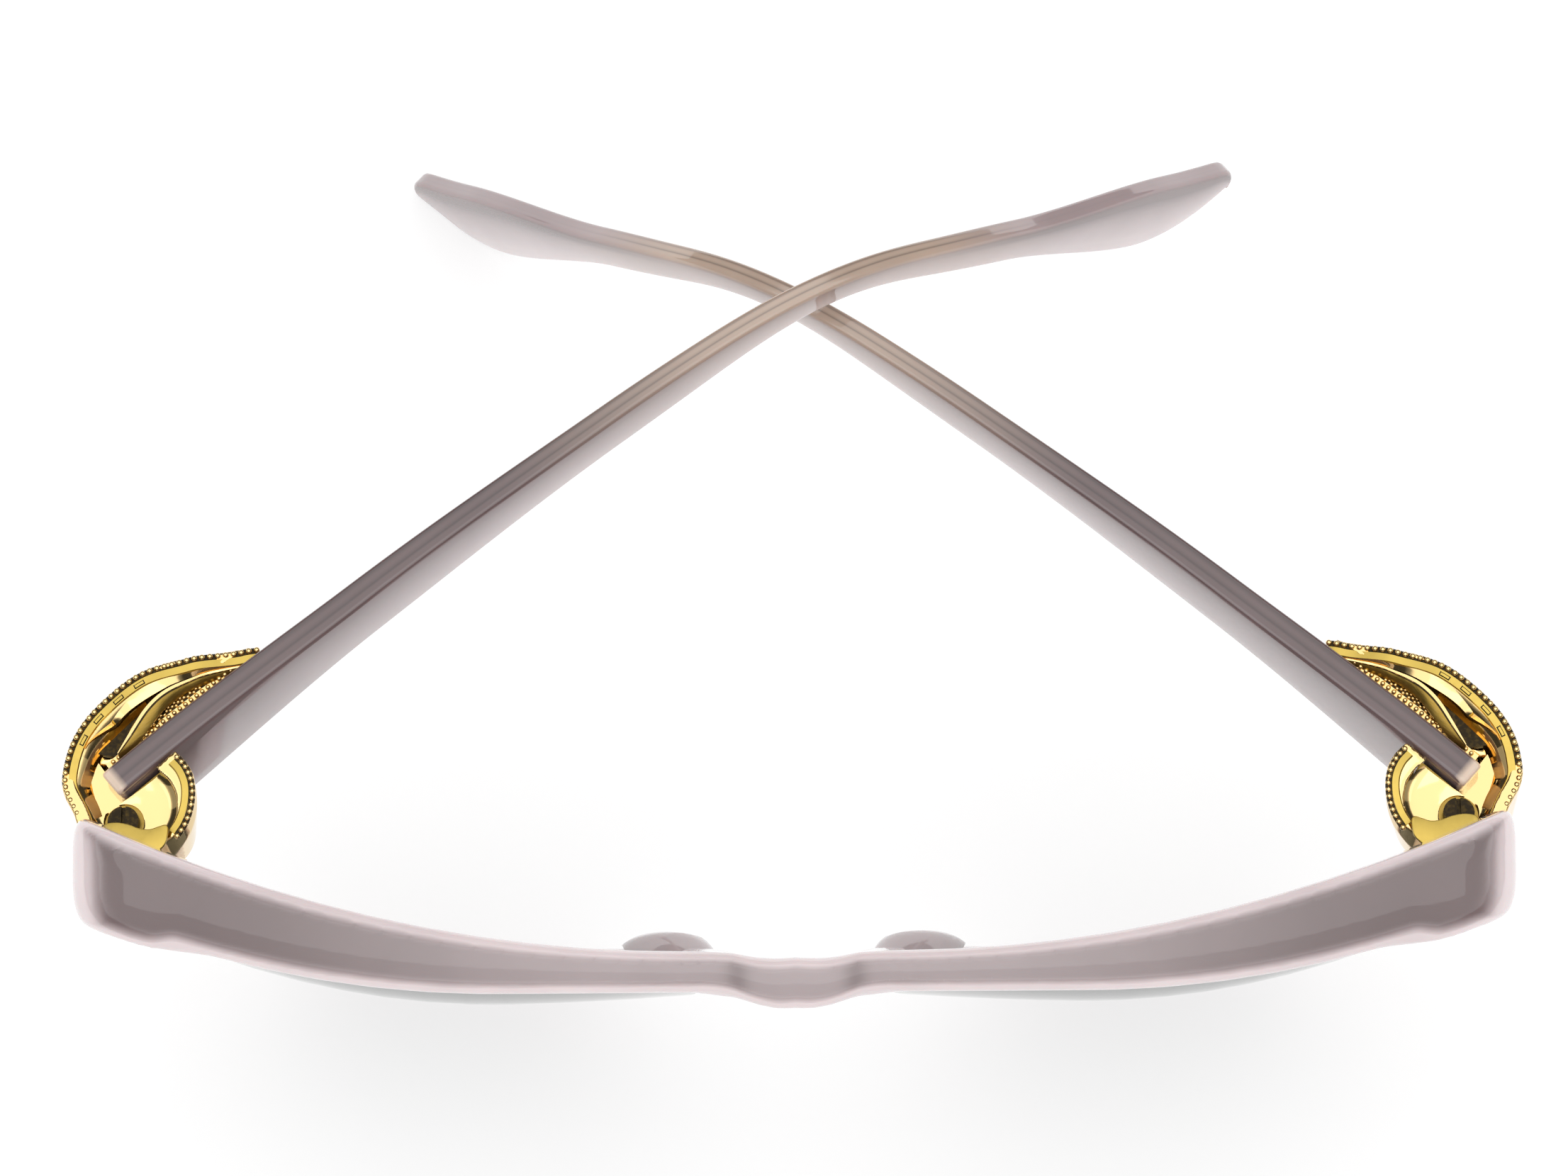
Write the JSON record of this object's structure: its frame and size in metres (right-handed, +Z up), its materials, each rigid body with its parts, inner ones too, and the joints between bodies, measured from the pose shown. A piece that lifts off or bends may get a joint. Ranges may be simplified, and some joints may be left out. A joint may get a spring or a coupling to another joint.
{
  "type": "sunglasses",
  "caption": "Folding sunglasses with a translucent acetate front, dark tinted lenses, slim drop temples and a polished gold cuff wrapped around each hinge.",
  "frame": {"origin": "middle of the footprint, at table height", "axes": "+X towards the wearer's left, +Y from the front to the temple tips, +Z up"},
  "size_m": [0.1412, 0.1074, 0.0515],
  "materials": {
    "acetate": "polished translucent acetate",
    "lens_tint": "smooth tinted lens",
    "gold": "polished gold plating",
    "hinge_metal": "satin gold plating",
    "steel": "fine turned"
  },
  "bodies": {
    "front": {"front_frame": "acetate", "lens_right": "lens_tint", "lens_left": "lens_tint", "nose_pad_right": "acetate", "nose_pad_left": "acetate", "front_hinge_right": "hinge_metal", "front_hinge_left": "hinge_metal", "hinge_screw_right": "steel", "hinge_screw_left": "steel"},
    "right_temple": {"temple_right": "acetate", "cuff_right": "gold", "cuff_leaf_right": "gold", "cuff_plate_right": "gold", "temple_hinge_right": "hinge_metal", "cuff_pin_right_1": "steel", "cuff_pin_right_2": "steel"},
    "left_temple": {"temple_left": "acetate", "cuff_left": "gold", "cuff_leaf_left": "gold", "cuff_plate_left": "gold", "temple_hinge_left": "hinge_metal", "cuff_pin_left_1": "steel", "cuff_pin_left_2": "steel"}
  },
  "joints": [
    {"name": "right_hinge", "type": "hinge", "parent": "front", "child": "right_temple", "pos_m": [-0.06408, -0.03492, 0.03702], "axis": [-0.0558, -0.0027, 0.9984], "range_deg": [-24, 56]},
    {"name": "left_hinge", "type": "hinge", "parent": "front", "child": "left_temple", "pos_m": [0.06392, -0.03492, 0.03702], "axis": [-0.0454, -0.0027, 0.999], "range_deg": [-51.6, 24]}
  ],
  "couplings": [
    {"joint": "left_hinge", "follows": "right_hinge", "ratio": -0.7}
  ]
}
